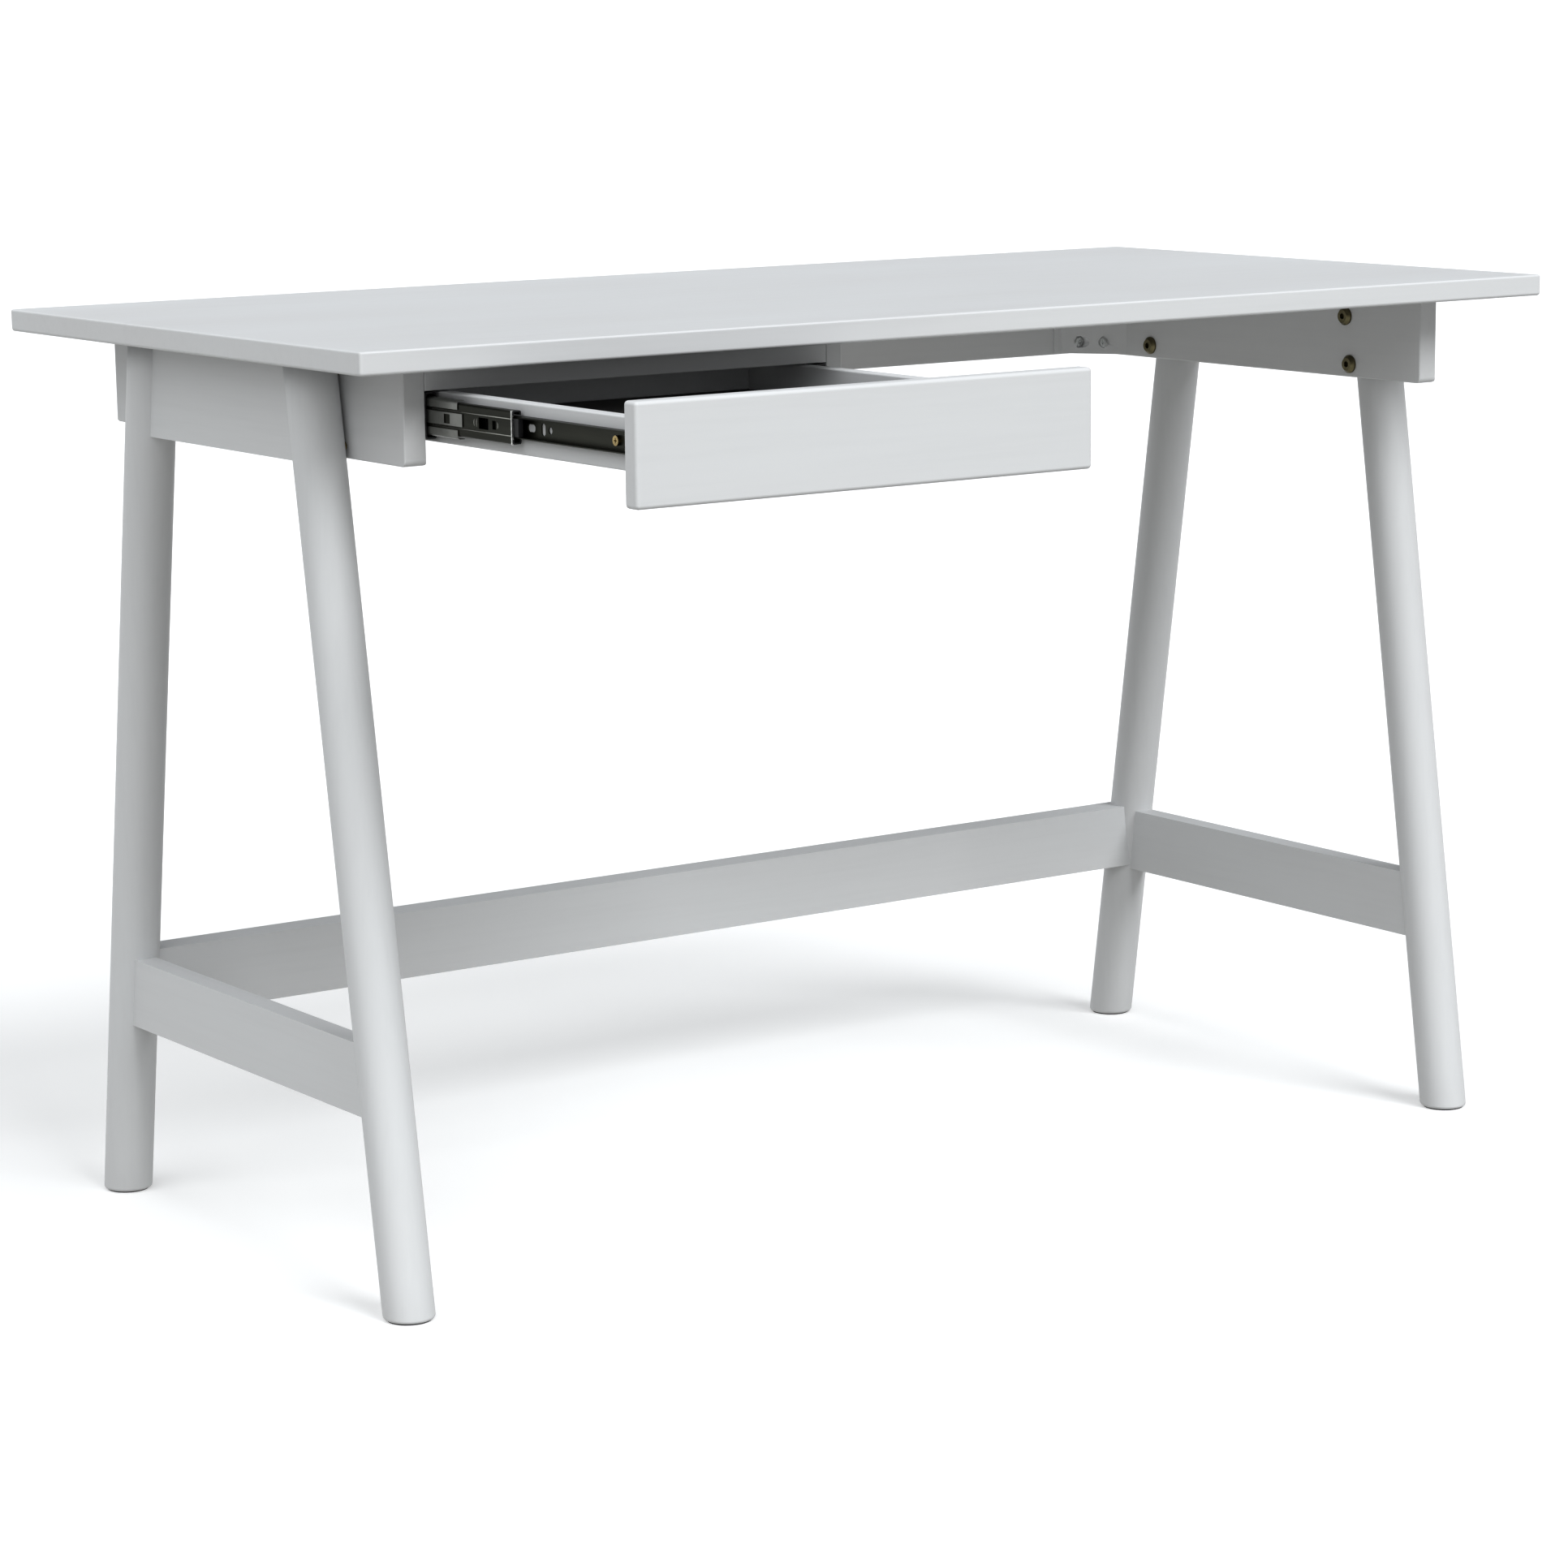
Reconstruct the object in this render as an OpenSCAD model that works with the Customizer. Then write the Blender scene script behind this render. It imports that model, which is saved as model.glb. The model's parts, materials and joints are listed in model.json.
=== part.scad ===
// Writing desk on two round-legged trestles, with one drawer on ball-bearing slides.
// Axes: +X to the sitter's right, +Y away from the sitter, +Z up. Unit: millimetre.
// The drawer is drawn out by drawer_open, which is its rest position.

/* [Desktop] */
// Width of the desktop
top_width = 1180; // [1120:10:1400]
// Depth of the desktop
top_depth = 584; // [560:2:640]
// Thickness of the desktop
top_thickness = 18; // [16:1:25]
// Height of the desktop's upper face above the floor
desk_height = 750; // [720:5:780]
// Radius of the desktop's corners, seen from above
top_corner_radius = 3; // [1:0.5:10]

/* [Apron frame] */
// Thickness of the end panels and the rear apron
board_thickness = 19; // [16:0.5:22]
// Height of the end panels, the rear apron and the drawer divider
apron_height = 75.5; // [72:0.5:90]
// Distance from the desktop's side edge to the end panel's outer face
end_overhang = 68.5; // [60:0.5:80]
// Distance from the desktop's front edge to the end panels' front ends
front_overhang = 58; // [50:1:70]
// Distance from the desktop's rear edge to the end panels' rear ends
rear_overhang = 51; // [45:1:60]
// Radius of the end panels' lower corners
panel_corner_radius = 4; // [1:0.5:8]
// Thickness of the drawer divider
divider_thickness = 15; // [12:0.5:19]
// Distance from the desk's middle to the divider's open side, towards the drawer
divider_offset = 119.5; // [80:0.5:160]
// Height of the rail over the drawer
front_rail_height = 19.5; // [16:0.5:20]
// Depth of the rail over the drawer, front to back
front_rail_depth = 38; // [25:1:60]

/* [Trestles] */
// Diameter of the round legs
leg_diameter = 41; // [36:0.5:45]
// Distance between the front and rear leg axes just under the desktop
leg_spread_top = 258; // [240:2:280]
// Distance between the front and rear leg axes at the floor
leg_spread_floor = 478; // [420:2:500]
// Thickness of the trestle rails and the side stretchers
stretcher_thickness = 19; // [16:0.5:22]
// Height of the trestle rails, down from the desktop
trestle_rail_height = 77.5; // [70:0.5:90]
// Height of the side stretchers' lower edge above the floor
side_stretcher_low = 152; // [100:1:200]
// Height of the side stretchers, bottom edge to top edge
side_stretcher_height = 58; // [45:1:70]
// Thickness of the long rear stretcher
rear_stretcher_thickness = 29; // [19:0.5:32]
// Height of the rear stretcher's lower edge above the floor
rear_stretcher_low = 156; // [100:1:200]
// Height of the rear stretcher, bottom edge to top edge
rear_stretcher_height = 58.5; // [45:0.5:70]

/* [Drawer] */
// Height of the drawer front
drawer_front_height = 75; // [70:0.5:76]
// Gap between the drawer front's upper edge and the desktop
drawer_front_gap = 4; // [2:0.5:6]
// Thickness of the drawer front
drawer_front_thickness = 16; // [15:0.5:22]
// Rounding of the drawer front's corners
drawer_front_radius = 3; // [1:0.5:6]
// Thickness of the drawer's sides and back
drawer_board_thickness = 12; // [10:0.5:15]
// Depth of the drawer's box, from the front's rear face to the back
drawer_depth = 385; // [380:5:420]
// Height of the drawer's sides
drawer_side_height = 38.5; // [36:0.5:38.5]
// Height of the drawer sides' lower edge under the slides' middle line
drawer_side_drop = 21; // [20.5:0.5:22]
// Thickness of the drawer's bottom panel
drawer_bottom_thickness = 6; // [3:0.5:7]
// Height of the bottom panel's underside above the sides' lower edge
drawer_bottom_inset = 9; // [5:0.5:10]
// How far the drawer is drawn out at rest
drawer_open = 301; // [260:1:320]

/* [Slides] */
// Length of a slide's outer member
slide_length = 350; // [340:5:360]
// Height of a slide, which is the height of its outer member
slide_height = 35; // [35:0.5:36]
// Width that a slide fills between the frame and the drawer
slide_width = 12.7; // [12.7:0.1:13.2]
// Height of the slides' middle line above the floor
slide_level_drop = 56; // [54:0.5:58]
// Part of the drawer's travel that the middle members take
middle_share = 0.42; // [0.38:0.01:0.45]

/* [Hidden] */
$fn = 48;

// Colours
lacquer = [0.86, 0.87, 0.88];
beech = [0.78, 0.66, 0.50];
hardboard = [0.20, 0.19, 0.18];
dark_zinc = [0.24, 0.23, 0.20];
bright_zinc = [0.72, 0.72, 0.70];
bronze = [0.36, 0.31, 0.20];
brass = [0.78, 0.62, 0.30];
black_plastic = [0.06, 0.06, 0.06];

cut = 1;            // how far a cutting tool runs past the face that it cuts
fit_gap = 0.05;     // radial room around a dowel, pin or insert in its hole

// Levels
under_top = desk_height - top_thickness;
apron_low = under_top - apron_height;
front_edge = -top_depth / 2;
rear_edge = top_depth / 2;
panel_front = front_edge + front_overhang;
panel_rear = rear_edge - rear_overhang;
panel_outer = top_width / 2 - end_overhang;
panel_inner = panel_outer - board_thickness;
apron_face = panel_rear - board_thickness;
divider_open_side = -divider_offset;
divider_drawer_side = divider_open_side - divider_thickness;

// Legs: each leans only front to back, and touches the end panel's outer face
leg_radius = leg_diameter / 2;
leg_x = panel_outer + leg_radius;
leg_lean = atan((leg_spread_floor - leg_spread_top) / 2 / under_top);
glide_height = 1;
glide_radius = 17.5;
glide_pin_radius = 1.5;
glide_pin_length = 14;

// Drawer, at rest
front_face_back = panel_front - drawer_open;
drawer_left = -panel_inner + slide_width;
drawer_right = divider_drawer_side - slide_width;
drawer_front_top = under_top - drawer_front_gap;
slide_level = under_top + top_thickness - slide_level_drop;
side_low = slide_level - drawer_side_drop;
side_top = side_low + drawer_side_height;
drawer_rear = front_face_back + drawer_depth;
bottom_low = side_low + drawer_bottom_inset;
groove_depth = 5;

// The origin is on the floor under the middle of the box around the whole desk
front_most = front_face_back - drawer_front_thickness;
origin_y = -(front_most + rear_edge) / 2;

module place() {
    translate([0, origin_y, 0]) children();
}

// y of a leg's axis at a height; way is -1 for a front leg and 1 for a rear leg
function leg_y(z, way) =
    way * (leg_spread_top / 2 + (under_top - z) * tan(leg_lean));

// ---------- plain shapes ----------

// Rectangle from the origin with round corners
module round_rect(size, r) {
    translate([r, 0]) square([size[0] - 2 * r, size[1]]);
    translate([0, r]) square([size[0], size[1] - 2 * r]);
    for (x = [r, size[0] - r], y = [r, size[1] - r]) {
        translate([x, y]) circle(r);
    }
}

// Extrudes a (y, z) outline along +X
module along_x(length) {
    rotate([90, 0, 90]) linear_extrude(length) children();
}

// Extrudes an (x, z) outline along -Y
module along_minus_y(length) {
    rotate([90, 0, 0]) linear_extrude(length) children();
}

module rod_x(r, length) {
    rotate([0, 90, 0]) cylinder(r = r, h = length);
}

module rod_y(r, length) {
    rotate([-90, 0, 0]) cylinder(r = r, h = length);
}

// ---------- desktop ----------

module desktop() {
    color(lacquer) place() difference() {
        translate([-top_width / 2, front_edge, under_top])
            linear_extrude(top_thickness) round_rect([top_width, top_depth], top_corner_radius);
        screw_holes();
    }
}

// ---------- apron frame ----------

right_bolt_heights = [under_top - 21.8, under_top - 64];
left_bolt_heights = [under_top - 10, under_top - 66];     // above and below the drawer slide
bolt_shift = -5;        // bolts sit a little in front of the leg's axis

function bolt_heights(side) = side < 0 ? left_bolt_heights : right_bolt_heights;
bolt_hole_radius = 3.4;
dowel_radius = 4;
dowel_length = 30;
apron_dowel_heights = [apron_low + 18, under_top - 18];

// Dowels that lie along X, from the end panels into the rear apron and the front rail
function apron_dowels_x() = concat(
    [for (side = [-1, 1], z = apron_dowel_heights)
        [side * panel_inner, apron_face + board_thickness / 2, z]],
    [for (x = [-panel_inner, divider_drawer_side])
        [x, panel_front + front_rail_depth / 2, under_top - front_rail_height / 2]]
);

// Round holes that the screws of the frame sit in
module screw_holes() {
    at_brackets() {
        translate([bracket_sheet, 0, -bracket_leg / 2 - 2]) rotate([0, 0, -90])
            screw_hole(bracket_screw_length);
        translate([bracket_leg / 2 + 2, 0, -bracket_sheet]) rotate([-90, 0, 0])
            screw_hole(bracket_screw_length);
    }
    at_rear_corners("both") at_block_screws() screw_hole(block_screw_length);
    at_rail_screws() screw_hole(rail_screw_length);
    at_outer_member_screws() rotate([0, 0, -90]) screw_hole(member_screw_length);
}

// Hole for a screw whose head's seat is at the origin and whose thread runs towards -Y
module screw_hole(length) {
    translate([0, -length - fit_gap, 0]) rod_y(screw_radius + fit_gap, length + cut);
}

// Half a dowel goes into each board, except where the board is thinner than that
module apron_dowel_set(r) {
    for (p = apron_dowels_x()) {
        short = min(dowel_length / 2, divider_thickness - 5);
        toward_board = p[0] == divider_drawer_side ? 1 : sign(p[0]);
        translate([p[0] - (toward_board > 0 ? dowel_length / 2 : short), p[1], p[2]])
            rod_x(r, dowel_length / 2 + short);
    }
    for (z = apron_dowel_heights) {
        translate([(divider_drawer_side + divider_open_side) / 2, apron_face - dowel_length / 2, z])
            rod_y(r, dowel_length / 2 + 10);
    }
}

module apron_dowels() {
    color(beech) place() apron_dowel_set(dowel_radius);
}

module end_panel(side) {
    place() difference() {
        translate([side > 0 ? panel_inner : -panel_outer, 0, 0])
            along_x(board_thickness) difference() {
                translate([panel_front, apron_low])
                    round_rect([panel_rear - panel_front, apron_height + panel_corner_radius],
                        panel_corner_radius);
                translate([panel_front - cut, under_top])
                    square([panel_rear - panel_front + 2 * cut, panel_corner_radius + cut]);
            }
        for (way = [-1, 1], z = bolt_heights(side)) {
            translate([side * (panel_inner + board_thickness / 2) - board_thickness / 2 - cut,
                leg_y(z, way) + bolt_shift, z]) rod_x(bolt_hole_radius, board_thickness + 2 * cut);
        }
        apron_dowel_set(dowel_radius + fit_gap);
        screw_holes();
    }
}

module left_end_panel() { color(lacquer) end_panel(-1); }

module right_end_panel() { color(lacquer) end_panel(1); }

module rear_apron() {
    color(lacquer) place() difference() {
        translate([-panel_inner, apron_face, apron_low])
            cube([2 * panel_inner, board_thickness, apron_height]);
        apron_dowel_set(dowel_radius + fit_gap);
        screw_holes();
    }
}

module front_rail() {
    color(lacquer) place() difference() {
        translate([-panel_inner, panel_front, under_top - front_rail_height])
            cube([divider_drawer_side + panel_inner, front_rail_depth, front_rail_height]);
        apron_dowel_set(dowel_radius + fit_gap);
        at_rail_screws() {
            screw_hole(rail_screw_length);
            rod_y(rail_counterbore_radius, front_rail_height);
        }
    }
}

module drawer_divider() {
    color(lacquer) place() difference() {
        translate([divider_drawer_side, panel_front, apron_low])
            cube([divider_thickness, apron_face - panel_front, apron_height]);
        apron_dowel_set(dowel_radius + fit_gap);
        screw_holes();
    }
}

// ---------- corner blocks in the rear corners ----------

block_long = 54;        // leg of the block that has no flat tip
block_short = 46.5;     // leg of the block that ends in the flat tip
block_flat = 9;         // length of the flat tip
block_step = 1.5;       // thickness of the block at the flat tip
block_height = apron_height - 1;
block_screw_level = apron_low + 12;
pocket_radius = 5.5;
pocket_floor = 13;      // wood left under a screw's head
apron_screw_at = 27;    // distance of the screw into the apron from the end panel
panel_screw_at = 36;    // distance of the screw into the end panel from the apron
block_screw_length = 16;

// One block, with its inside corner at the origin and its legs along -X and -Y.
// The leg along -X ends in the flat tip.
module corner_block() {
    difference() {
        linear_extrude(block_height)
            polygon([[0, 0], [-block_short, 0], [-block_short, -block_step],
                [-block_short + block_flat, -block_step], [0, -block_long]]);
        at_block_screws() rod_y(pocket_radius, block_long);
        at_block_screws() translate([0, -pocket_floor - cut, 0]) rod_y(screw_radius + fit_gap,
            pocket_floor + 2 * cut);
    }
}

screw_radius = 2;
screw_head_radius = 4.2;
screw_head_height = 2.4;

// Puts its children at both screws, with +Y away from the board that the screw goes into
module at_block_screws() {
    translate([-apron_screw_at, -pocket_floor, block_screw_level - under_top + block_height])
        rotate([0, 0, 180]) children();
    translate([-pocket_floor, -panel_screw_at, block_screw_level - under_top + block_height])
        rotate([0, 0, 90]) children();
}

// Puts its children, drawn for one block, into both rear corners
module at_rear_corners(which) {
    level = under_top - block_height;
    if (which != "left") {
        translate([panel_inner, apron_face, level]) children();
    }
    if (which != "right") {
        translate([-panel_inner, apron_face, level]) mirror([1, 0, 0]) children();
    }
}

module rear_left_corner_block() { color(lacquer) place() at_rear_corners("left") corner_block(); }

module rear_right_corner_block() { color(lacquer) place() at_rear_corners("right") corner_block(); }

module corner_block_screws() {
    color(bright_zinc) place() at_rear_corners("both") at_block_screws() pan_screw(block_screw_length);
}

// Pan-head screw with a cross recess, its head's seat at the origin and its head on the +Y side
module pan_screw(length, head = screw_head_radius) {
    difference() {
        union() {
            rod_y(head, screw_head_height);
            translate([0, -length, 0]) rod_y(screw_radius, length + 0.1);
        }
        for (turn = [0, 90]) {
            translate([0, screw_head_height, 0]) rotate([0, turn, 0])
                cube([3.6, 2.4, 0.9], center = true);
        }
    }
}

// ---------- trestles ----------

// A leg's full cylinder, before it is cut at the floor and under the desktop
module leg_core(side, way, extra = 0) {
    translate([side * leg_x, leg_y(0, way), 0]) rotate([way * leg_lean, 0, 0])
        translate([0, 0, -60]) cylinder(r = leg_radius + extra, h = under_top + 140);
}

side_dowel_heights = [side_stretcher_low + 15, side_stretcher_low + side_stretcher_height - 15];
rail_dowel_heights = [under_top - 48, under_top - 35];     // between the leg bolts
rear_dowel_heights = [rear_stretcher_low + 15, rear_stretcher_low + rear_stretcher_height - 15];
rear_stretcher_y = leg_y(rear_stretcher_low + rear_stretcher_height / 2, 1);

// All dowels between the legs and what joins them
module trestle_dowel_set(r) {
    for (side = [-1, 1], way = [-1, 1], z = concat(side_dowel_heights, rail_dowel_heights)) {
        at_surface = leg_y(z, way) - way * leg_radius;
        translate([side * leg_x, at_surface - dowel_length / 2, z]) rod_y(r, dowel_length);
    }
    for (side = [-1, 1], z = rear_dowel_heights) {
        translate([side * (leg_x - leg_radius) - dowel_length / 2, rear_stretcher_y, z])
            rod_x(r, dowel_length);
    }
}

module trestle_dowels() {
    color(beech) place() trestle_dowel_set(dowel_radius);
}

insert_radius = 4.75;
insert_length = 14;
insert_depth = 1.5;      // how far an insert sits below the leg's surface
bolt_radius = 2.95;
bolt_length = 44;

module leg(side, way) {
    place() difference() {
        intersection() {
            leg_core(side, way);
            translate([side * leg_x - leg_diameter, leg_y(under_top / 2, way) - leg_spread_floor / 2,
                glide_height]) cube([2 * leg_diameter, leg_spread_floor, under_top - glide_height]);
        }
        for (z = bolt_heights(side)) {
            translate([side > 0 ? leg_x - leg_radius - cut : -leg_x + leg_radius + cut - 30,
                leg_y(z, way) + bolt_shift, z]) rod_x(insert_radius + fit_gap, 30);
        }
        trestle_dowel_set(dowel_radius + fit_gap);
        translate([side * leg_x, leg_y(0, way), 0])
            cylinder(r = glide_pin_radius + fit_gap, h = glide_pin_length + fit_gap);
    }
}

module front_left_leg() { color(lacquer) leg(-1, -1); }

module rear_left_leg() { color(lacquer) leg(-1, 1); }

module front_right_leg() { color(lacquer) leg(1, -1); }

module rear_right_leg() { color(lacquer) leg(1, 1); }

// A board between a front and a rear leg, with its ends hollowed to fit them
module board_between_legs(side, low, height) {
    place() difference() {
        translate([side * leg_x - stretcher_thickness / 2, leg_y(low, -1), low])
            cube([stretcher_thickness, 2 * leg_y(low, 1), height]);
        for (way = [-1, 1]) {
            leg_core(side, way, 0.02);
            translate([side * leg_x - leg_diameter, way > 0 ? leg_y(low + height, 1) : -leg_spread_floor,
                low - cut]) cube([2 * leg_diameter, leg_spread_floor - leg_y(low + height, 1), height + 2 * cut]);
        }
        trestle_dowel_set(dowel_radius + fit_gap);
    }
}

module left_trestle_rail() {
    color(lacquer) board_between_legs(-1, under_top - trestle_rail_height, trestle_rail_height);
}

module right_trestle_rail() {
    color(lacquer) board_between_legs(1, under_top - trestle_rail_height, trestle_rail_height);
}

module left_side_stretcher() {
    color(lacquer) board_between_legs(-1, side_stretcher_low, side_stretcher_height);
}

module right_side_stretcher() {
    color(lacquer) board_between_legs(1, side_stretcher_low, side_stretcher_height);
}

module rear_stretcher() {
    color(lacquer) place() difference() {
        translate([-leg_x, rear_stretcher_y - rear_stretcher_thickness / 2, rear_stretcher_low])
            cube([2 * leg_x, rear_stretcher_thickness, rear_stretcher_height]);
        for (side = [-1, 1]) {
            leg_core(side, 1, 0.02);
            translate([side > 0 ? leg_x : -leg_x - leg_diameter,
                rear_stretcher_y - rear_stretcher_thickness, rear_stretcher_low - cut])
                cube([leg_diameter, 2 * rear_stretcher_thickness, rear_stretcher_height + 2 * cut]);
        }
        for (side = [-1, 1]) {
            translate([side * leg_x - 8, rear_stretcher_y - rear_stretcher_thickness,
                rear_stretcher_low - cut])
                cube([16, 2 * rear_stretcher_thickness, rear_stretcher_height + 2 * cut]);
        }
        trestle_dowel_set(dowel_radius + fit_gap);
    }
}

// Furniture connector bolt along +X, with its head's seat at the origin and the head on the -X side
bolt_flange_radius = 8;
bolt_flange_height = 1.5;
bolt_head_radius = 5.6;
bolt_head_height = 4.4;
bolt_socket_radius = 2.9;
bolt_socket_depth = 3;

module connector_bolt() {
    difference() {
        rotate([0, 90, 0]) rotate_extrude()
            polygon([[0, -bolt_head_height], [bolt_head_radius, -bolt_head_height],
                [bolt_flange_radius, -bolt_flange_height], [bolt_flange_radius, 0],
                [bolt_radius, 0], [bolt_radius, bolt_length - 1],
                [bolt_radius - 1, bolt_length], [0, bolt_length]]);
        translate([-bolt_head_height - cut, 0, 0]) rotate([0, 90, 0])
            cylinder(r = bolt_socket_radius, h = bolt_socket_depth + cut, $fn = 6);
    }
}

// Puts its children at every leg bolt, with +X pointing into the leg
module at_leg_bolts() {
    for (side = [-1, 1], way = [-1, 1], z = bolt_heights(side)) {
        translate([side * panel_inner, leg_y(z, way) + bolt_shift, z]) rotate([0, 0, side > 0 ? 0 : 180])
            children();
    }
}

module leg_bolts() { color(bronze) place() at_leg_bolts() connector_bolt(); }

module leg_inserts() {
    color(brass) place() at_leg_bolts() translate([board_thickness + insert_depth, 0, 0]) difference() {
        rod_x(insert_radius, insert_length);
        translate([-cut, 0, 0]) rod_x(bolt_radius + fit_gap, insert_length + 2 * cut);
    }
}

module foot_glides() {
    color(black_plastic) place() for (side = [-1, 1], way = [-1, 1]) {
        translate([side * leg_x, leg_y(0, way), 0]) {
            cylinder(r = glide_radius, h = glide_height);
            cylinder(r = glide_pin_radius, h = glide_pin_length);
        }
    }
}

// ---------- fixings between the frame and the desktop ----------

bracket_leg = 18;
bracket_width = 20;
bracket_sheet = 2;
bracket_screw_length = 12;

// Bracket places: [x, y, turn]; the bracket's upright leg lies on a board, and +X of the
// turned bracket points away from that board
function bracket_places() = [
    [-panel_inner, -40, 0], [-panel_inner, 90, 0],
    [panel_inner, -40, 180], [panel_inner, 90, 180],
    [divider_open_side, -40, 0], [divider_open_side, 90, 0],
    [-320, apron_face, -90], [0, apron_face, -90], [320, apron_face, -90]
];

module at_brackets() {
    for (p = bracket_places()) {
        translate([p[0], p[1], under_top]) rotate([0, 0, p[2]]) children();
    }
}

module bracket() {
    difference() {
        union() {
            translate([0, -bracket_width / 2, -bracket_leg])
                cube([bracket_sheet, bracket_width, bracket_leg]);
            translate([0, -bracket_width / 2, -bracket_sheet])
                cube([bracket_leg, bracket_width, bracket_sheet]);
        }
        translate([-cut, 0, -bracket_leg / 2 - 2]) rod_x(screw_radius + fit_gap, bracket_sheet + 2 * cut);
        translate([bracket_leg / 2 + 2, 0, -bracket_sheet - cut])
            cylinder(r = screw_radius + fit_gap, h = bracket_sheet + 2 * cut);
    }
}

module desktop_brackets() { color(bright_zinc) place() at_brackets() bracket(); }

module desktop_bracket_screws() {
    color(bright_zinc) place() at_brackets() {
        translate([bracket_sheet, 0, -bracket_leg / 2 - 2]) rotate([0, 0, -90])
            pan_screw(bracket_screw_length);
        translate([bracket_leg / 2 + 2, 0, -bracket_sheet]) rotate([-90, 0, 0])
            pan_screw(bracket_screw_length);
    }
}

rail_screw_length = 24;
rail_screw_sink = 7;
rail_counterbore_radius = 5;

// Puts its children at both rail screws, with +Y pointing down
module at_rail_screws() {
    for (share = [0.25, 0.75]) {
        x = -panel_inner + share * (divider_drawer_side + panel_inner);
        translate([x, panel_front + front_rail_depth / 2, under_top - front_rail_height + rail_screw_sink])
            rotate([-90, 0, 0]) children();
    }
}

module front_rail_screws() {
    color(bright_zinc) place() at_rail_screws() pan_screw(rail_screw_length);
}

// ---------- slides ----------
// A slide is drawn for the left: x is measured from the frame's board towards the drawer,
// and z from the slide's middle line. The right slide is its mirror image on the divider.

sheet = 1.2;
outer_depth = 9.6;
outer_lip = 4.4;
middle_height = 24.6;
middle_sheet = 1.1;
middle_near = 2.4;              // gap from the board to the middle member's web
middle_depth = 7.5;
middle_lip = 3.4;
middle_end = slide_length - 10;
inner_height = 16.4;
inner_near = 4.9;
inner_end = slide_length - 10;
outer_ball_radius = 1.7;
inner_ball_radius = 1.2;
cage_sheet = 0.4;
cage_tongue = 9.6;              // height of the tongue at a cage's front end
cage_tongue_length = 6.7;
cage_slit = 2.8;                // gap above and below the tongue, for the lines on the member inside
cage_slit_length = 60;
cage_corner = 2.4;

slide_front = panel_front + 8;
middle_out = middle_share * drawer_open;
middle_front = slide_front - middle_out;
inner_front = front_face_back + 1;
outer_cage_length = 180;
outer_cage_front = slide_front + 5 - middle_out / 2;
inner_cage_length = 90;
inner_cage_front = slide_front + 139.7 - (1 + middle_share) / 2 * drawer_open;

// Places children drawn for a left slide on the left or the right
module at_slide(side) {
    if (side < 0) {
        translate([-panel_inner, 0, slide_level]) children();
    } else {
        translate([divider_drawer_side, 0, slide_level]) mirror([1, 0, 0]) children();
    }
}

// Channel open on its far side, with lips that turn back over the mouth
module lipped_channel(near, depth, height, wall, lip, r) {
    translate([near, -height / 2]) difference() {
        round_rect([depth, height], r);
        translate([wall, wall]) round_rect([depth - 2 * wall, height - 2 * wall], r - wall / 2);
        translate([depth - wall - 0.5, lip]) square([wall + cut, height - 2 * lip]);
    }
}

module outer_member(side) {
    place() at_slide(side) difference() {
        translate([0, slide_front + slide_length, 0]) along_minus_y(slide_length)
            lipped_channel(0, outer_depth, slide_height, sheet, outer_lip, 1.6);
        for (y = outer_screw_places()) {
            translate([sheet, y, 0]) countersink(fit_gap);
        }
    }
}

function outer_screw_places() = [for (at = [35, 163, 291]) slide_front + at];

member_screw_length = 11;
flush_head_radius = 3.4;

// Cone of a flush head, with its flat at the origin, facing +X
module countersink(extra) {
    translate([-1.4, 0, 0]) rotate([0, 90, 0])
        cylinder(r1 = screw_radius + extra, r2 = flush_head_radius + extra, h = 1.4);
    translate([-1.4 - cut, 0, 0]) rod_x(screw_radius + extra, cut + 0.1);
    translate([-0.01, 0, 0]) rod_x(flush_head_radius + extra, extra > 0 ? 0.5 : 0.01);
}

// Puts its children at the screws of both outer members, with the head on the +X side
module at_outer_member_screws() {
    for (side = [-1, 1]) {
        at_slide(side) for (y = outer_screw_places()) {
            translate([sheet, y, 0]) children();
        }
    }
}

module left_slide_outer_member() { color(dark_zinc) outer_member(-1); }

module right_slide_outer_member() { color(dark_zinc) outer_member(1); }

// Plastic cap in front of the outer member, with the member's own section
module front_cap(side) {
    place() at_slide(side) translate([0, slide_front - 0.05, 0])
        along_minus_y(slide_front - panel_front - 0.6)
            lipped_channel(0, outer_depth, slide_height, sheet, outer_lip, 1.6);
}

module left_slide_front_cap() { color(black_plastic) front_cap(-1); }

module right_slide_front_cap() { color(black_plastic) front_cap(1); }

// Screw along X with a flush cone head whose flat is at the origin, on the +X side
module flush_screw(length) {
    difference() {
        union() {
            countersink(0);
            translate([-length, 0, 0]) rod_x(screw_radius, length - 1);
        }
        for (turn = [0, 90]) {
            rotate([turn, 0, 0]) cube([1.2, 3.4, 0.8], center = true);
        }
    }
}

module outer_member_screws() {
    color(bright_zinc) place() at_outer_member_screws() flush_screw(member_screw_length);
}

// Middle member: its web carries two pressed lines and the slots behind its front end
middle_line_level = 6.2;
middle_slots = [[21.5, 5, 6.4], [32.2, 13.6, 8.4]];      // [distance from the front end, length, height]

module middle_member(side) {
    place() at_slide(side) difference() {
        translate([0, middle_front + middle_end, 0]) along_minus_y(middle_end)
            lipped_channel(middle_near, middle_depth, middle_height, middle_sheet, middle_lip, 1.5);
        for (way = [-1, 1]) {
            translate([middle_near - cut, middle_front - cut, way * middle_line_level - 0.4])
                cube([cut + 0.35, middle_end + 2 * cut, 0.8]);
        }
        for (slot = middle_slots) {
            translate([middle_near - cut, middle_front + slot[0], -slot[2] / 2])
                cube([middle_sheet + 2 * cut, slot[1], slot[2]]);
        }
    }
}

module left_slide_middle_member() { color(dark_zinc) middle_member(-1); }

module right_slide_middle_member() { color(dark_zinc) middle_member(1); }

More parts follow.
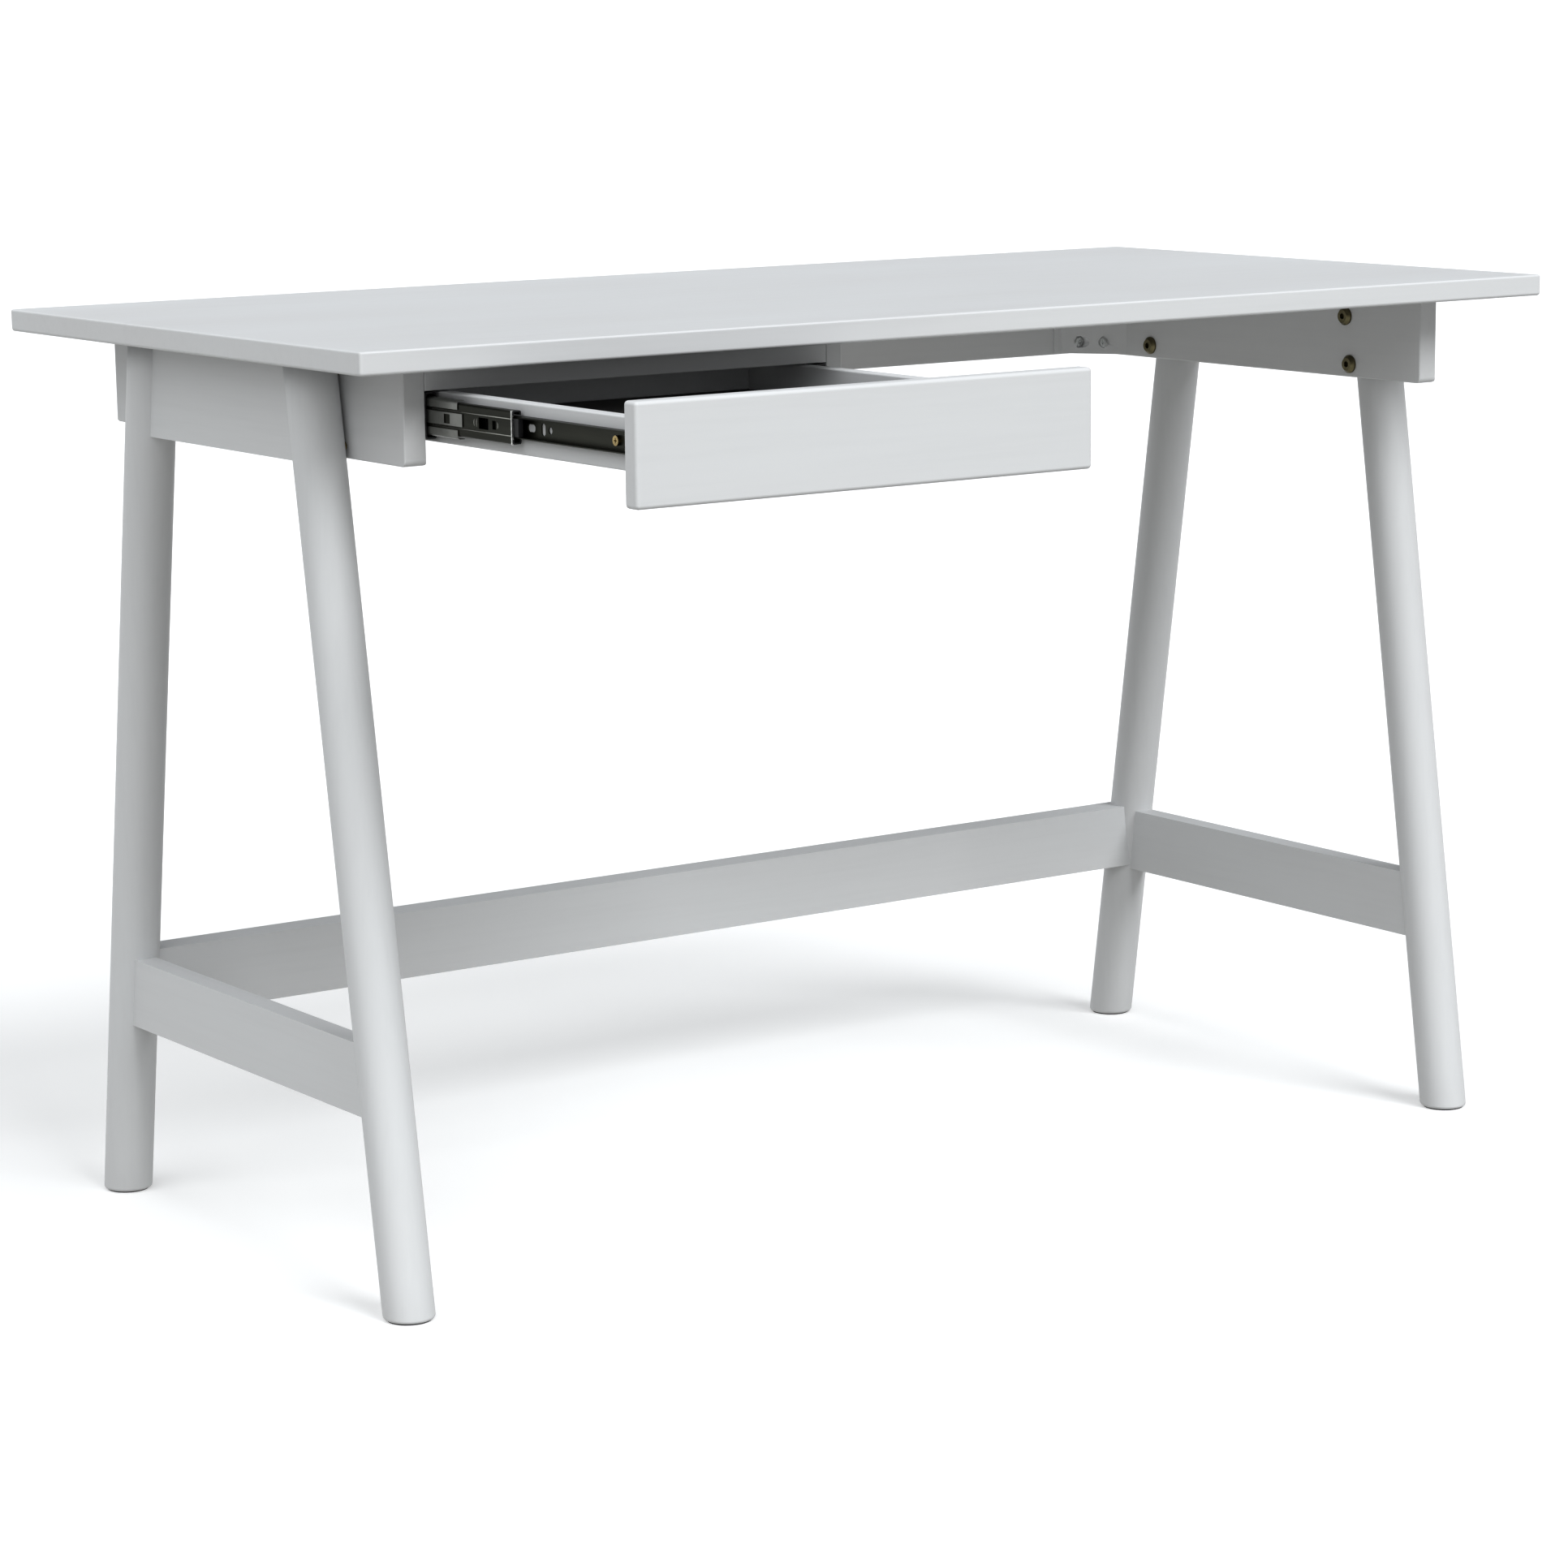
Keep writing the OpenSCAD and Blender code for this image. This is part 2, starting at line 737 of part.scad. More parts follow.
// Plastic stop on the middle member's front end: a thin frame with a tip above and below,
// and a block that reaches into the inner member's channel
bumper_frame = 0.7;
bumper_reach = 1.7;
bumper_tip = 3.6;
bumper_grip = 13.4;
bumper_block_reach = 8;
bumper_block = [4, 13.2];

module middle_bumper(side) {
    place() at_slide(side) {
        difference() {
            translate([0, middle_front - 0.05, 0]) along_minus_y(bumper_reach)
                lipped_channel(middle_near, middle_depth, middle_height, middle_sheet, middle_lip, 1.5);
            translate([middle_near - cut, middle_front - bumper_reach - 1, bumper_tip - middle_height / 2])
                cube([middle_depth + 2 * cut, bumper_reach - bumper_frame + 1,
                    middle_height - 2 * bumper_tip]);
        }
        translate([middle_near + middle_sheet, middle_front - bumper_block_reach, -bumper_block[1] / 2])
            cube([bumper_block[0], bumper_block_reach + bumper_grip, bumper_block[1]]);
    }
}

module left_middle_bumper() { color(black_plastic) middle_bumper(-1); }

module right_middle_bumper() { color(black_plastic) middle_bumper(1); }

// Ball cages: a thin channel that holds a row of balls above and below
outer_ball_level = (slide_height / 2 - sheet + middle_height / 2) / 2;
outer_ball_x = 5.3;
outer_cage_near = sheet + (middle_near - sheet - cage_sheet) / 2;
outer_ball_count = 9;
outer_balls_from_front = 52;
inner_ball_level = (middle_height / 2 - middle_sheet + inner_height / 2) / 2;
inner_ball_x = 6.6;
inner_cage_near = middle_near + middle_sheet + (inner_near - middle_near - middle_sheet - cage_sheet) / 2;
inner_ball_count = 6;
inner_balls_from_front = 8;

// Puts its children at each ball of a cage
module at_balls(front, length, start, count, x, level) {
    pitch = (length - start) / count;
    for (i = [0 : count - 1], way = [-1, 1]) {
        translate([x, front + start + (i + 0.5) * pitch, way * level]) children();
    }
}

module cage(front, length, near, reach, level, ball_r, start, count, x, window, corner) {
    height = 2 * level + cage_sheet;
    difference() {
        translate([0, front + length, 0]) along_minus_y(length) intersection() {
            translate([near, -height / 2]) difference() {
                round_rect([2 * reach, height], corner);
                translate([cage_sheet, cage_sheet])
                    round_rect([2 * reach, height - 2 * cage_sheet], corner - cage_sheet);
            }
            translate([near, -height]) square([reach, 2 * height]);
        }
        at_balls(front, length, start, count, x, level)
            translate([0, 0, -1]) cylinder(r = ball_r + fit_gap, h = 2);
        translate([near - cut, front + window[0], -window[2] / 2])
            cube([2 * cut + cage_sheet, window[1], window[2]]);
        for (way = [-1, 1]) {
            translate([near - cut, front - cut, way * (cage_tongue / 2 + level) - level])
                cube([reach + 2 * cut, cut + cage_tongue_length, 2 * level]);
            translate([near - cut, front - cut, (way * (cage_tongue + cage_slit) - cage_slit) / 2])
                cube([cage_sheet + 2 * cut, cut + cage_slit_length, cage_slit]);
        }
    }
}

module outer_cage(side) {
    place() at_slide(side) cage(outer_cage_front, outer_cage_length, outer_cage_near, 6.2,
        outer_ball_level, outer_ball_radius, outer_balls_from_front, outer_ball_count, outer_ball_x,
        [17.8, 8.4, 7], cage_corner);
}

module inner_cage(side) {
    place() at_slide(side) cage(inner_cage_front, inner_cage_length, inner_cage_near, 4.4,
        inner_ball_level, inner_ball_radius, inner_balls_from_front, inner_ball_count, inner_ball_x,
        [12, 8, 6], 1);
}

module left_outer_ball_cage() { color(bright_zinc) outer_cage(-1); }

module right_outer_ball_cage() { color(bright_zinc) outer_cage(1); }

module left_inner_ball_cage() { color(bright_zinc) inner_cage(-1); }

module right_inner_ball_cage() { color(bright_zinc) inner_cage(1); }

module outer_balls(side) {
    place() at_slide(side) at_balls(outer_cage_front, outer_cage_length,
        outer_balls_from_front, outer_ball_count, outer_ball_x, outer_ball_level) sphere(r = outer_ball_radius, $fn = 24);
}

module inner_balls(side) {
    place() at_slide(side) at_balls(inner_cage_front, inner_cage_length,
        inner_balls_from_front, inner_ball_count, inner_ball_x, inner_ball_level) sphere(r = inner_ball_radius, $fn = 24);
}

module left_outer_balls() { color(bright_zinc) outer_balls(-1); }

module right_outer_balls() { color(bright_zinc) outer_balls(1); }

module left_inner_balls() { color(bright_zinc) inner_balls(-1); }

module right_inner_balls() { color(bright_zinc) inner_balls(1); }

// Inner member: a channel open towards the frame, screwed to the drawer's side
inner_sheet = 1.1;
inner_screws_from_front = [53, 210, 316];
inner_screw_head = 3.7;
inner_small_hole_from_front = 142.8;
inner_slots = [[152.2, 5.6, 9.2], [168.6, 10.7, 5.8]];      // [distance from the front, length, height]

function inner_screw_places() = [for (at = inner_screws_from_front) inner_front + at];

module inner_member(side) {
    web = slide_width - inner_sheet;
    place() at_slide(side) difference() {
        translate([inner_near, inner_front + inner_end, -inner_height / 2])
            along_minus_y(inner_end) difference() {
                round_rect([slide_width - inner_near, inner_height], 1);
                translate([-cut, inner_sheet])
                    square([web - inner_near + cut, inner_height - 2 * inner_sheet]);
            }
        for (y = inner_screw_places()) {
            translate([web - cut, y, 0]) rod_x(screw_radius + fit_gap, inner_sheet + 2 * cut);
        }
        translate([web - cut, inner_front + inner_small_hole_from_front, 0])
            rod_x(2.6, inner_sheet + 2 * cut);
        for (slot = inner_slots) {
            translate([web - cut, inner_front + slot[0] - slot[1] / 2, -slot[2] / 2])
                along_x(inner_sheet + 2 * cut) round_rect([slot[1], slot[2]], 2.6);
        }
    }
}

module left_slide_inner_member() { color(dark_zinc) inner_member(-1); }

module right_slide_inner_member() { color(dark_zinc) inner_member(1); }

module inner_member_screws() {
    color(brass) place() for (side = [-1, 1]) {
        at_slide(side) for (y = inner_screw_places()) {
            translate([slide_width - inner_sheet, y, 0]) rotate([0, 0, 90]) pan_screw(10, inner_screw_head);
        }
    }
}

// Release lever: a thin plastic tongue that lies in the inner member
lever_length = 62;
lever_from_front = 228;

module release_lever(side) {
    place() at_slide(side) {
        translate([slide_width - inner_sheet - 2.05, inner_front + lever_from_front, -2.5])
            cube([2, lever_length, 5]);
        translate([slide_width - inner_sheet - 2.05, inner_front + lever_from_front, -6.5])
            cube([2, 14, 13]);
    }
}

module left_release_lever() { color(black_plastic) release_lever(-1); }

module right_release_lever() { color(black_plastic) release_lever(1); }

// ---------- drawer ----------

drawer_front_left = -panel_outer;
drawer_front_right = divider_open_side;
cam_radius = 6;
cam_height = 9;
cam_from_front = 24;
cam_pin_radius = 3;
cam_pin_length = 30;
cam_pin_in_front = 11;
back_screw_radius = 2.5;
back_screw_length = 40;

module drawer_front() {
    color(lacquer) place() difference() {
        translate([drawer_front_left, front_face_back, drawer_front_top - drawer_front_height])
            along_minus_y(drawer_front_thickness)
                round_rect([drawer_front_right - drawer_front_left, drawer_front_height],
                    drawer_front_radius);
        at_cam_pins() rod_y(cam_pin_radius + fit_gap, cam_pin_length + cam_pin_in_front);
        translate([drawer_left + drawer_board_thickness - groove_depth, front_face_back - groove_depth,
            bottom_low]) cube([drawer_right - drawer_left - 2 * (drawer_board_thickness - groove_depth),
            groove_depth + cut, drawer_bottom_thickness]);
    }
}

cam_level = side_low + drawer_side_height / 2 + 6;

module at_cam_pins() {
    for (x = [drawer_left + drawer_board_thickness / 2, drawer_right - drawer_board_thickness / 2]) {
        translate([x, front_face_back - cam_pin_in_front, cam_level]) children();
    }
}

// Cams sit in the sides' inner faces
module at_cams() {
    translate([drawer_left + drawer_board_thickness, front_face_back + cam_from_front, cam_level])
        mirror([1, 0, 0]) children();
    translate([drawer_right - drawer_board_thickness, front_face_back + cam_from_front, cam_level])
        children();
}

module at_back_screws() {
    for (side = [-1, 1], z = [bottom_low + drawer_bottom_thickness + 6, side_top - 6]) {
        translate([side < 0 ? drawer_left : drawer_right, drawer_rear - drawer_board_thickness / 2, z])
            rotate([0, 0, side < 0 ? 0 : 180]) children();
    }
}

module drawer_side(side) {
    x = side < 0 ? drawer_left : drawer_right - drawer_board_thickness;
    place() difference() {
        translate([x, front_face_back, side_low])
            cube([drawer_board_thickness, drawer_depth, drawer_side_height]);
        translate([side < 0 ? drawer_left + drawer_board_thickness - groove_depth
            : drawer_right - drawer_board_thickness - cut, front_face_back - cut, bottom_low])
            cube([groove_depth + cut, drawer_depth + 2 * cut, drawer_bottom_thickness]);
        at_cam_pins() rod_y(cam_pin_radius + fit_gap, cam_pin_length + cam_pin_in_front);
        at_cams() translate([-fit_gap, 0, 0]) rod_x(cam_radius + fit_gap, cam_height + fit_gap + cut);
        at_back_screws() translate([-cut, 0, 0]) rod_x(back_screw_radius + fit_gap, back_screw_length + cut);
        for (place_y = inner_screw_places(), way = [-1, 1]) {
            translate([way < 0 ? drawer_left - cut : drawer_right + cut - 10, place_y, slide_level])
                rod_x(screw_radius + fit_gap, 10);
        }
    }
}

module drawer_left_side() { color(lacquer) drawer_side(-1); }

module drawer_right_side() { color(lacquer) drawer_side(1); }

module drawer_back() {
    color(lacquer) place() difference() {
        translate([drawer_left + drawer_board_thickness, drawer_rear - drawer_board_thickness,
            bottom_low + drawer_bottom_thickness])
            cube([drawer_right - drawer_left - 2 * drawer_board_thickness, drawer_board_thickness,
                side_top - bottom_low - drawer_bottom_thickness]);
        at_back_screws() rod_x(back_screw_radius + fit_gap, back_screw_length + cut);
    }
}

module drawer_bottom() {
    color(hardboard) place() translate([drawer_left + drawer_board_thickness - groove_depth + 0.1,
        front_face_back - groove_depth + 0.1, bottom_low + 0.02])
        cube([drawer_right - drawer_left - 2 * (drawer_board_thickness - groove_depth) - 0.2,
            drawer_depth + groove_depth - 0.1, drawer_bottom_thickness - 0.04]);
}

module drawer_cams() {
    color(bright_zinc) place() at_cams() difference() {
        rod_x(cam_radius, cam_height);
        translate([drawer_board_thickness / 2, -cam_from_front, 0])
            rod_y(cam_pin_radius + fit_gap, cam_from_front);
        for (turn = [0, 90]) {
            rotate([turn, 0, 0]) translate([0, -3, -0.6]) cube([1.2, 6, 1.2]);
        }
        translate([cam_height / 2 - 3, -cam_radius - cut, -cam_pin_radius - 0.2])
            cube([6, cam_radius + cut, 2 * cam_pin_radius + 0.4]);
    }
}

module drawer_cam_pins() {
    color(bright_zinc) place() at_cam_pins() rod_y(cam_pin_radius, cam_pin_length);
}

module drawer_back_screws() {
    color(bright_zinc) place() at_back_screws() rod_x(back_screw_radius, back_screw_length);
}

// ---------- parts on the sheet ----------

desktop();
left_end_panel();
right_end_panel();
rear_apron();
front_rail();
drawer_divider();
rear_left_corner_block();
rear_right_corner_block();
front_left_leg();
rear_left_leg();
front_right_leg();
rear_right_leg();
left_trestle_rail();
right_trestle_rail();
left_side_stretcher();
right_side_stretcher();
rear_stretcher();
leg_bolts();
leg_inserts();
trestle_dowels();
apron_dowels();
corner_block_screws();
desktop_brackets();
desktop_bracket_screws();
front_rail_screws();
foot_glides();
left_slide_outer_member();
right_slide_outer_member();
left_slide_front_cap();
right_slide_front_cap();
outer_member_screws();
left_slide_middle_member();
right_slide_middle_member();
left_middle_bumper();
right_middle_bumper();
left_outer_ball_cage();
right_outer_ball_cage();
left_outer_balls();
right_outer_balls();
left_inner_ball_cage();
right_inner_ball_cage();
left_inner_balls();
right_inner_balls();
drawer_front();
drawer_left_side();
drawer_right_side();
drawer_back();
drawer_bottom();
drawer_cams();
drawer_cam_pins();
drawer_back_screws();
left_slide_inner_member();
right_slide_inner_member();
left_release_lever();
right_release_lever();
inner_member_screws();
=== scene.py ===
# Writing desk with one drawer: looks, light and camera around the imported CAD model. Unit: metre.
import json
import math
import bmesh
import bpy
from mathutils import Matrix, Vector


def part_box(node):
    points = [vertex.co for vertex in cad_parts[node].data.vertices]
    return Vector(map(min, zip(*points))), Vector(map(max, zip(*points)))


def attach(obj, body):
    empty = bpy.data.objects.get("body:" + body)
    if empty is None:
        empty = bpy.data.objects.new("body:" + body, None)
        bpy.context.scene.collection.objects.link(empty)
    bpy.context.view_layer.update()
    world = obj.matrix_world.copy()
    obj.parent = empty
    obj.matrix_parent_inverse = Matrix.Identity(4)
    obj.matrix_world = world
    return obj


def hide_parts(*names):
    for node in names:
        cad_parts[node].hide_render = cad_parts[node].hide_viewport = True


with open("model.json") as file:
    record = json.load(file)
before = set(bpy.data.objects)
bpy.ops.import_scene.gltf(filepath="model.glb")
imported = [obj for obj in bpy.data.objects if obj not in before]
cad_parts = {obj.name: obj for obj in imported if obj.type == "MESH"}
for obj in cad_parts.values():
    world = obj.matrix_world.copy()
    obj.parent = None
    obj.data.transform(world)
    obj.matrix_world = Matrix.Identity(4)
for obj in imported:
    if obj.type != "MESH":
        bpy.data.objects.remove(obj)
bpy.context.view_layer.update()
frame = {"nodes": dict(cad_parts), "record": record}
MM = 0.001
scene = bpy.context.scene
NODES = frame["nodes"]


# ---------------------------------------------------------------- materials

def new_material(name):
    material = bpy.data.materials.new(name)
    material.use_nodes = True
    nodes = material.node_tree.nodes
    return material, nodes, material.node_tree.links, nodes["Principled BSDF"]


def stretched_noise(nodes, links, stretch, scale, detail, roughness=0.55):
    """Noise in object space, drawn out by the three numbers of stretch."""
    coord = nodes.new("ShaderNodeTexCoord")
    mapping = nodes.new("ShaderNodeMapping")
    mapping.inputs["Scale"].default_value = stretch
    noise = nodes.new("ShaderNodeTexNoise")
    noise.inputs["Scale"].default_value = scale
    noise.inputs["Detail"].default_value = detail
    noise.inputs["Roughness"].default_value = roughness
    links.new(coord.outputs["Object"], mapping.inputs["Vector"])
    links.new(mapping.outputs["Vector"], noise.inputs["Vector"])
    return noise


def ramp(nodes, links, source, stops):
    node = nodes.new("ShaderNodeValToRGB")
    elements = node.color_ramp.elements
    elements[0].position, elements[0].color = stops[0][0], (*stops[0][1], 1)
    elements[1].position, elements[1].color = stops[-1][0], (*stops[-1][1], 1)
    for position, colour in stops[1:-1]:
        element = elements.new(position)
        element.color = (*colour, 1)
    links.new(source, node.inputs["Fac"])
    return node


def coloured(nodes, links, shader, source, stops):
    """Base colour from a noise, through a colour ramp."""
    links.new(ramp(nodes, links, source, stops).outputs["Color"], shader.inputs["Base Color"])


def roughened(nodes, links, shader, source, low, high):
    """Roughness from a noise, between two values."""
    node = nodes.new("ShaderNodeMapRange")
    node.inputs["To Min"].default_value = low
    node.inputs["To Max"].default_value = high
    links.new(source, node.inputs["Value"])
    links.new(node.outputs["Result"], shader.inputs["Roughness"])


def bumped(nodes, links, shader, source, strength, distance):
    bump = nodes.new("ShaderNodeBump")
    bump.inputs["Strength"].default_value = strength
    bump.inputs["Distance"].default_value = distance
    links.new(source, bump.inputs["Height"])
    links.new(bump.outputs["Normal"], shader.inputs["Normal"])


def multiplied(nodes, links, a, b):
    node = nodes.new("ShaderNodeMix")
    node.data_type = "RGBA"
    node.blend_type = "MULTIPLY"
    node.inputs["Factor"].default_value = 1.0
    links.new(a, node.inputs["A"])
    links.new(b, node.inputs["B"])
    return node.outputs["Result"]


# noise stretched along the grain of a board that runs along x, y or z
GRAIN = {"x": (1.0, 26.0, 26.0), "y": (26.0, 1.0, 26.0), "z": (26.0, 26.0, 1.0)}
EVEN = (1, 1, 1)
FINE_BUMP = 0.0001
FIBRE_BUMP = 0.0003
LACQUER_TONE = (0.715, 0.722, 0.728)
LACQUER_LIGHT = tuple(min(1.0, v * 1.006) for v in LACQUER_TONE)
LACQUER_DARK = tuple(v * 0.982 for v in LACQUER_TONE)
LACQUER_CLOUDS = [(0.30, (0.976, 0.968, 0.966)), (0.70, (1.0, 1.0, 1.0))]


def lacquer(name, axis):
    """Satin white lacquer with the wood's grain just showing through, along one axis."""
    material, nodes, links, shader = new_material(name)
    grain = stretched_noise(nodes, links, GRAIN[axis], scale=6.0, detail=7.0, roughness=0.6)
    wide_grain = tuple(0.25 * v ** 0.4 for v in GRAIN[axis])
    cloud = stretched_noise(nodes, links, wide_grain, scale=10.0, detail=3.0)
    grain_colour = ramp(nodes, links, grain.outputs["Fac"],
                        [(0.30, LACQUER_DARK), (0.52, LACQUER_TONE), (0.75, LACQUER_LIGHT)])
    cloud_colour = ramp(nodes, links, cloud.outputs["Fac"], LACQUER_CLOUDS)
    colour = multiplied(nodes, links, grain_colour.outputs["Color"], cloud_colour.outputs["Color"])
    links.new(colour, shader.inputs["Base Color"])
    roughened(nodes, links, shader, cloud.outputs["Fac"], low=0.42, high=0.56)
    bumped(nodes, links, shader, grain.outputs["Fac"], strength=0.06, distance=FINE_BUMP)
    shader.inputs["Specular IOR Level"].default_value = 0.34
    return material


def metal(name, dark, light, roughness, streaks, metallic=1.0):
    material, nodes, links, shader = new_material(name)
    streak = stretched_noise(nodes, links, streaks, scale=9.0, detail=5.0)
    fine = stretched_noise(nodes, links, EVEN, scale=900.0, detail=4.0)
    coloured(nodes, links, shader, streak.outputs["Fac"], [(0.30, dark), (0.70, light)])
    roughened(nodes, links, shader, fine.outputs["Fac"], *roughness)
    bumped(nodes, links, shader, fine.outputs["Fac"], strength=0.15, distance=FINE_BUMP)
    shader.inputs["Metallic"].default_value = metallic
    return material


def plastic(name, dark, light, roughness):
    material, nodes, links, shader = new_material(name)
    fine = stretched_noise(nodes, links, EVEN, scale=1400.0, detail=3.0)
    coloured(nodes, links, shader, fine.outputs["Fac"], [(0.30, dark), (0.70, light)])
    roughened(nodes, links, shader, fine.outputs["Fac"], *roughness)
    bumped(nodes, links, shader, fine.outputs["Fac"], strength=0.2, distance=FINE_BUMP)
    return material


def bare_wood(name, axis):
    material, nodes, links, shader = new_material(name)
    grain = stretched_noise(nodes, links, GRAIN[axis], scale=14.0, detail=8.0, roughness=0.65)
    coloured(nodes, links, shader, grain.outputs["Fac"],
             [(0.30, (0.36, 0.24, 0.14)), (0.50, (0.55, 0.40, 0.26)), (0.72, (0.66, 0.52, 0.36))])
    bumped(nodes, links, shader, grain.outputs["Fac"], strength=0.3, distance=FIBRE_BUMP)
    shader.inputs["Roughness"].default_value = 0.62
    return material


def dark_board(name):
    material, nodes, links, shader = new_material(name)
    fibre = stretched_noise(nodes, links, (30.0, 5.0, 30.0), scale=30.0, detail=6.0, roughness=0.7)
    coloured(nodes, links, shader, fibre.outputs["Fac"],
             [(0.30, (0.020, 0.019, 0.018)), (0.70, (0.045, 0.042, 0.038))])
    bumped(nodes, links, shader, fibre.outputs["Fac"], strength=0.25, distance=FIBRE_BUMP)
    shader.inputs["Roughness"].default_value = 0.7
    return material


LACQUER = {axis: lacquer("white_lacquer_" + axis, axis) for axis in "xyz"}
DARK_ZINC = metal("dark_zinc", dark=(0.020, 0.021, 0.015), light=(0.052, 0.053, 0.041),
                  roughness=(0.30, 0.46), streaks=(1.5, 0.4, 8.0), metallic=0.9)
BRIGHT_ZINC = metal("bright_zinc", dark=(0.19, 0.193, 0.18), light=(0.32, 0.322, 0.305),
                    roughness=(0.28, 0.42), streaks=(3, 3, 3))
SCREW_ZINC = metal("zinc_screw", dark=(0.50, 0.51, 0.50), light=(0.72, 0.73, 0.72),
                   roughness=(0.24, 0.38), streaks=(9, 9, 9))
STEEL_FLANGE = metal("polished_steel", dark=(0.42, 0.42, 0.41), light=(0.80, 0.80, 0.78),
                     roughness=(0.16, 0.30), streaks=(60, 60, 60))
# painted glint: the slides' pressed lines and tabs get a metal far lighter than the dark zinc member they
# are pressed into
GLINT_LINE_METAL = metal("pressed_line", dark=(0.24, 0.24, 0.22), light=(0.46, 0.46, 0.43),
                   roughness=(0.26, 0.38), streaks=(3, 3, 3))
BRONZE = metal("dark_bronze", dark=(0.075, 0.066, 0.034), light=(0.170, 0.150, 0.085),
               roughness=(0.28, 0.45), streaks=(9, 9, 9), metallic=0.85)
BRASS = metal("brass", dark=(0.20, 0.155, 0.075), light=(0.42, 0.33, 0.165),
              roughness=(0.18, 0.32), streaks=(9, 9, 9))
BLACK = plastic("black_plastic", dark=(0.006, 0.006, 0.007), light=(0.016, 0.016, 0.017),
                roughness=(0.42, 0.60))
BEECH = bare_wood("bare_beech", "x")
HARDBOARD = dark_board("dark_hardboard")


# ---------------------------------------------------------------- pieces

# corners in the order that box_mesh makes them: x slowest, z fastest
BOX_FACES = ((0, 1, 3, 2), (4, 6, 7, 5), (0, 4, 5, 1), (2, 3, 7, 6), (0, 2, 6, 4), (1, 5, 7, 3))
SAME_PLACE = 1.0 * MM        # an edge runs along an axis if its ends lie further apart than this


def finish_piece(name, mesh, body, material, replaced=()):
    """Turns a mesh into a piece of the desk that rides on a body."""
    piece = bpy.data.objects.new(name, mesh)
    scene.collection.objects.link(piece)
    piece.data.materials.append(material)
    for polygon in mesh.polygons:
        polygon.use_smooth = True
    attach(piece, body)
    if replaced:
        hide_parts(*replaced)
    return piece


def soften(piece, width, segments=4, limit=35.0):
    """Rounds a piece's edges and keeps its flat faces flat in shading."""
    bevel = piece.modifiers.new("edges", "BEVEL")
    bevel.width = width
    bevel.segments = segments
    bevel.limit_method = "ANGLE"
    bevel.angle_limit = math.radians(limit)
    bevel.harden_normals = True


def box_mesh(name, low, high):
    """A mesh and its open builder, filled with the box between two corners."""
    mesh = bpy.data.meshes.new(name)
    builder = bmesh.new()
    corners = [builder.verts.new((x, y, z)) for x in (low[0], high[0]) for y in (low[1], high[1])
               for z in (low[2], high[2])]
    for face in BOX_FACES:
        builder.faces.new([corners[i] for i in face])
    bmesh.ops.recalc_face_normals(builder, faces=builder.faces)
    return mesh, builder


def store(mesh, builder):
    builder.to_mesh(mesh)
    builder.free()
    return mesh


def edge_group(builder, test, weight):
    """Gives the edges whose two ends pass the test a bevel weight."""
    layer = builder.edges.layers.float.get("bevel_weight_edge")
    if layer is None:
        layer = builder.edges.layers.float.new("bevel_weight_edge")
    for edge in builder.edges:
        a, b = edge.verts[0].co, edge.verts[1].co
        if test(a, b):
            edge[layer] = weight


def board(name, low, high, body, axis, rounding, weights=(), segments=5, replaced=(),
          slot="white_lacquer", material=None):
    """A board with rounded edges. weights: list of (test, share of the rounding) for single edges."""
    mesh, builder = box_mesh(name, low, high)
    edge_group(builder, lambda a, b: True, 1.0)
    for test, share in weights:
        edge_group(builder, test, share)
    store(mesh, builder)
    piece = finish_piece(name, mesh, body, material or LACQUER[axis], replaced)
    bevel = piece.modifiers.new("edges", "BEVEL")
    bevel.width = rounding
    bevel.segments = segments
    bevel.limit_method = "WEIGHT"
    bevel.harden_normals = True


def node_board(node, body, axis, rounding, **more):
    """A rounded board in the place of a CAD node, as large as the node's box."""
    low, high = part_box(node)
    board(node + "_board", low, high, body, axis, rounding, replaced=(node,), **more)


# Desktop: crisp upper edges, softer lower edges, lightly rounded corners
top_low, top_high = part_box("desktop")
mid_level = (top_low[2] + top_high[2]) / 2
EDGE_TOP = 1.8 * MM
EDGE_LOW = 2.6 * MM
EDGE_CORNER = 2.4 * MM
board("desktop_board", top_low, top_high, "frame", "x", EDGE_LOW,
      [(lambda a, b: a.z > mid_level and b.z > mid_level, EDGE_TOP / EDGE_LOW),
       (lambda a, b: abs(a.z - b.z) > SAME_PLACE, EDGE_CORNER / EDGE_LOW)],
      segments=6, replaced=("desktop",))

# End panels: only the lower corners are rounded wide
PANEL_CORNER = 5.0 * MM
PANEL_EDGE = 1.4 * MM
for side in ("left", "right"):
    low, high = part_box(side + "_end_panel")
    middle = (low[2] + high[2]) / 2
    board(side + "_end_panel_board", low, high, "frame", "y", PANEL_CORNER,
          [(lambda a, b: True, PANEL_EDGE / PANEL_CORNER),
           (lambda a, b, m=middle: abs(a.x - b.x) > SAME_PLACE and a.z < m, 1.0)],
          segments=6, replaced=(side + "_end_panel",))

APRON_EDGE = 1.2 * MM
RAIL_EDGE = 0.8 * MM
DIVIDER_EDGE = 1.0 * MM
node_board("rear_apron", "frame", "x", APRON_EDGE)
node_board("front_rail", "frame", "x", RAIL_EDGE)
node_board("drawer_divider", "frame", "y", DIVIDER_EDGE)

# ---------------------------------------------------------------- trestles

LEG_SIDES = 96
LEG_RINGS = 24
FOOT_EASE = 3.0 * MM         # rounding of the foot's edge
FOOT_STEPS = 6
STRETCHER_EDGE = 2.0 * MM
BLOCK_EDGE = 0.6 * MM
CAD_EDGE_LIMIT = 50.0        # degrees; keeps the facets of the hollowed ends as they are
WELD_REACH = 0.01 * MM


